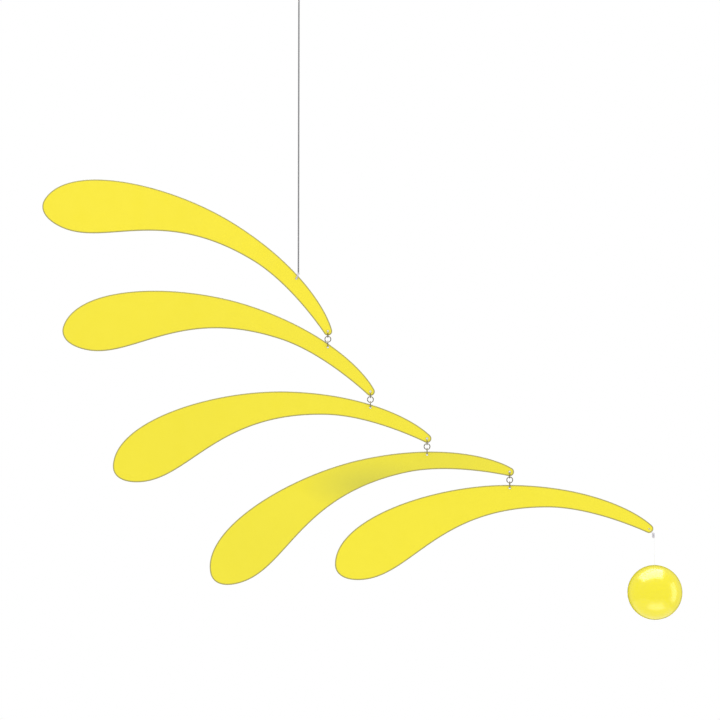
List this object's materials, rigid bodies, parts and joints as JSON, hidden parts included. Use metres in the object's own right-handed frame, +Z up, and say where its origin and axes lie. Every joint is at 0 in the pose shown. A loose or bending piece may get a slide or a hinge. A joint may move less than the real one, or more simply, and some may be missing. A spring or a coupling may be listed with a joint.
{
  "type": "hanging mobile",
  "caption": "Hanging mobile of alike leaf-shaped sheet blades, chained tip to back by small wire rings, with a ball on a fine thread at the lowest tip.",
  "frame": {"origin": "inside top of the hanging loop, where a hook carries the whole mobile", "axes": "+Z up, along the hanging thread; +X from the broad end of the blades towards the ball; Y across the flat blades"},
  "size_m": [0.6487, 0.055, 0.6579],
  "materials": {
    "blade_sheet": "satin",
    "ball_shell": "gloss",
    "ring_wire": "dull drawn wire",
    "hanging_thread": "clear monofilament",
    "clear_thread": "clear fine monofilament"
  },
  "bodies": {
    "hanger": {"hanging_loop": "hanging_thread", "hanging_thread": "hanging_thread"},
    "tier_1": {"blade_tie": "hanging_thread", "blade_1": "blade_sheet", "ring_1_upper": "ring_wire", "ring_1_middle": "ring_wire"},
    "tier_2": {"ring_1_lower": "ring_wire", "blade_2": "blade_sheet", "ring_2_upper": "ring_wire", "ring_2_middle": "ring_wire"},
    "tier_3": {"ring_2_lower": "ring_wire", "blade_3": "blade_sheet", "ring_3_upper": "ring_wire", "ring_3_middle": "ring_wire"},
    "tier_4": {"ring_3_lower": "ring_wire", "blade_4": "blade_sheet", "ring_4_upper": "ring_wire", "ring_4_middle": "ring_wire"},
    "tier_5": {"ring_4_lower": "ring_wire", "blade_5": "blade_sheet", "ball_tie": "clear_thread", "ball_thread": "clear_thread", "ball": "ball_shell"}
  },
  "joints": [
    {"name": "swivel_1", "type": "hinge", "parent": "hanger", "child": "tier_1", "pos_m": [0, 0, -0.306], "axis": [0, 0, 1], "continuous": true},
    {"name": "swivel_2", "type": "hinge", "parent": "tier_1", "child": "tier_2", "pos_m": [0.03007, 0, -0.37523], "axis": [0, 0, 1], "range_deg": [-45, 45]},
    {"name": "swivel_3", "type": "hinge", "parent": "tier_2", "child": "tier_3", "pos_m": [0.07327, 0, -0.43662], "axis": [0, 0, 1], "range_deg": [-45, 45]},
    {"name": "swivel_4", "type": "hinge", "parent": "tier_3", "child": "tier_4", "pos_m": [0.1306, 0, -0.48433], "axis": [0, 0, 1], "range_deg": [-45, 45]},
    {"name": "swivel_5", "type": "hinge", "parent": "tier_4", "child": "tier_5", "pos_m": [0.21415, 0, -0.51806], "axis": [0, 0, 1], "range_deg": [-45, 45]}
  ]
}
